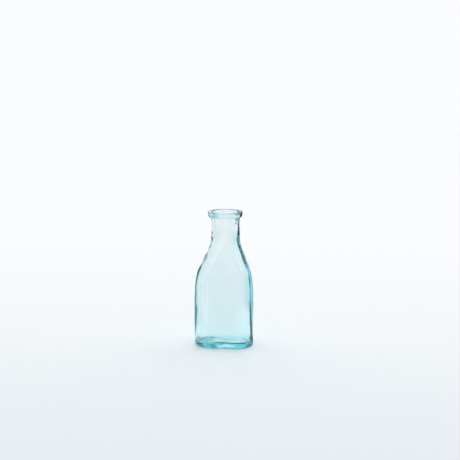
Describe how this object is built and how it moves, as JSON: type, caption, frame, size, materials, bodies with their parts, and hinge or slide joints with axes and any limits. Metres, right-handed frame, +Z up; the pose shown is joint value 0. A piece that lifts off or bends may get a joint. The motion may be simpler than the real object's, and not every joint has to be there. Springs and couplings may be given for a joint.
{
  "type": "glass bottle",
  "caption": "Small mouth-blown aqua glass bottle with flattened oblong body, soft sloping shoulders, round neck and an applied ring lip; stands on its base and takes a straight cork.",
  "frame": {"origin": "centre of the resting ring under the base, on the table plane", "axes": "+Z up along the neck's axis, +X to the right along the wide side, -Y towards the viewer in front of the wide face"},
  "size_m": [0.0478, 0.0282, 0.11],
  "materials": {
    "body_glass": "old clear aqua glass, fire-polished, with seeds and light wear on the base ring",
    "lip_glass": "old clear aqua glass, fire-polished"
  },
  "bodies": {
    "root": {"blown_body": "body_glass", "applied_lip": "lip_glass"}
  },
  "joints": []
}
